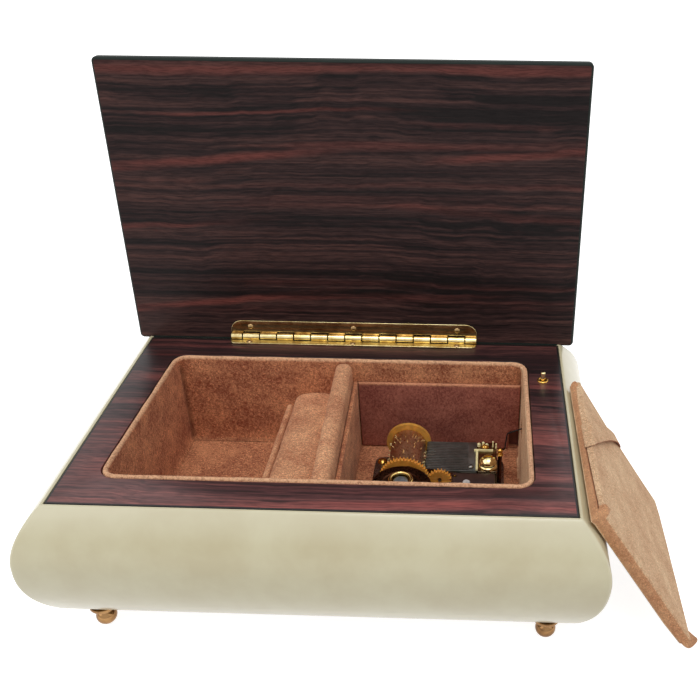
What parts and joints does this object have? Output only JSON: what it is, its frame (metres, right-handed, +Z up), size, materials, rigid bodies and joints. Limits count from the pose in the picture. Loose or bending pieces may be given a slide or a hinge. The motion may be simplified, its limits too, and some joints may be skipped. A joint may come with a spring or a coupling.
{
  "type": "music box",
  "caption": "Jewellery music box with a bowed lacquered case on turned feet, piano-hinged wooden lid, suede-lined tray, comb-and-drum movement, stop pin and a loose padded cover.",
  "frame": {"origin": "on the surface that the feet stand on, under the middle of the overall footprint of the open box with its loose cover", "axes": "+Z up, +Y towards the hinge at the rear, +X to the right as seen from the front"},
  "size_m": [0.218, 0.1238, 0.1673],
  "materials": {
    "cream_lacquer": "wood under smooth glossy ivory lacquer, faintly mottled",
    "plywood": "plain sanded plywood",
    "rosewood": "satin lacquered rosewood veneer with dark streaks",
    "suede": "flocked suede cloth, matt, short nap",
    "cover_suede": "flocked suede cloth, matt, short nap",
    "brass": "polished brass",
    "copper_brass": "polished reddish brass",
    "steel": "plated steel, dark where it is blued",
    "comb_steel": "dark ground tempered steel",
    "barrel_bronze": "dark bronze plated steel",
    "amber_plastic": "smooth moulded amber plastic",
    "yellow_plastic": "smooth moulded yellow plastic",
    "black_plastic": "dark moulded plastic"
  },
  "bodies": {
    "case": {"case_wall_front": "cream_lacquer", "case_wall_right": "cream_lacquer", "case_wall_rear": "cream_lacquer", "case_wall_left": "cream_lacquer", "base_panel": "plywood", "deck_frame": "rosewood", "foot_front_left": "copper_brass", "foot_rear_left": "copper_brass", "foot_front_right": "copper_brass", "foot_rear_right": "copper_brass", "tray_floor": "suede", "tray_liner": "suede", "tray_divider": "suede", "ring_roll_wide": "suede", "ring_roll_narrow": "suede", "ledge_divider": "suede", "ledge_rear": "suede", "hinge_deck_leaf": "brass", "hinge_deck_nail_1": "brass", "hinge_deck_nail_2": "brass", "hinge_deck_nail_3": "brass", "hinge_pin": "brass", "stop_bush": "brass", "stop_post": "brass", "bedplate": "steel", "bed_screw_1": "steel", "bed_screw_2": "steel", "bed_screw_3": "steel", "governor_frame": "black_plastic", "bracket_front": "steel", "bracket_rear": "steel", "comb": "comb_steel", "comb_base": "brass", "comb_clamp": "brass", "comb_screw_large": "brass", "comb_screw_rear": "brass", "comb_screw_small": "brass"},
    "lid": {"lid_board": "rosewood", "hinge_lid_leaf": "brass", "hinge_lid_nail_1": "brass", "hinge_lid_nail_2": "brass", "hinge_lid_nail_3": "brass"},
    "stop_pin": {"stop_pin": "brass"},
    "stop_wire": {"stop_wire": "steel"},
    "barrel": {"spring_barrel": "barrel_bronze", "crown_wheel": "steel", "barrel_ring": "brass", "mainspring": "steel"},
    "key": {"winding_key": "steel"},
    "drum": {"drum": "brass", "drum_axle": "steel", "drum_gear": "amber_plastic", "drum_end_disc": "yellow_plastic"},
    "governor_wheel": {"governor_wheel": "amber_plastic", "governor_wheel_axle": "steel"},
    "governor_fan": {"governor_fan": "brass"},
    "cover": {"cover_pad": "cover_suede", "cover_strap": "cover_suede"}
  },
  "joints": [
    {"name": "lid_hinge", "type": "hinge", "parent": "case", "child": "lid", "pos_m": [-0.01603, 0.05064, 0.05855], "axis": [1, 0, 0], "range_deg": [0, 92.7]},
    {"name": "stop_pin_slide", "type": "slide", "parent": "case", "child": "stop_pin", "axis": [0, 0, -1], "range_m": [0, 0.0015]},
    {"name": "stop_wire_swing", "type": "hinge", "parent": "case", "child": "stop_wire", "pos_m": [0.04357, 0.01264, 0.031], "axis": [0, 1, 0], "range_deg": [0, 5.5]},
    {"name": "barrel_spin", "type": "hinge", "parent": "case", "child": "barrel", "pos_m": [0.00807, -0.01338, 0.028], "axis": [0, 0, 1], "continuous": true},
    {"name": "drum_spin", "type": "hinge", "parent": "case", "child": "drum", "pos_m": [0.00807, -0.00026, 0.0288], "axis": [0, 1, 0], "continuous": true},
    {"name": "governor_wheel_spin", "type": "hinge", "parent": "case", "child": "governor_wheel", "pos_m": [0.02119, -0.00026, 0.0288], "axis": [0, 1, 0], "continuous": true},
    {"name": "governor_fan_spin", "type": "hinge", "parent": "case", "child": "governor_fan", "pos_m": [0.0268, -0.00026, 0.0288], "axis": [0, 0, 1], "continuous": true},
    {"name": "key_turn", "type": "hinge", "parent": "case", "child": "key", "pos_m": [0.00807, -0.01338, 0.02], "axis": [0, 0, 1], "continuous": true},
    {"name": "cover_slide_off", "type": "slide", "parent": "case", "child": "cover", "axis": [1, 0, 0], "range_m": [0, 0.12]}
  ],
  "couplings": [
    {"joint": "stop_pin_slide", "follows": "lid_hinge", "m_per_rad": 0.000914},
    {"joint": "stop_wire_swing", "follows": "lid_hinge", "ratio": 0.0585},
    {"joint": "drum_spin", "follows": "barrel_spin", "ratio": 1.4545},
    {"joint": "governor_wheel_spin", "follows": "barrel_spin", "ratio": -3.2},
    {"joint": "governor_fan_spin", "follows": "barrel_spin", "ratio": -16}
  ]
}
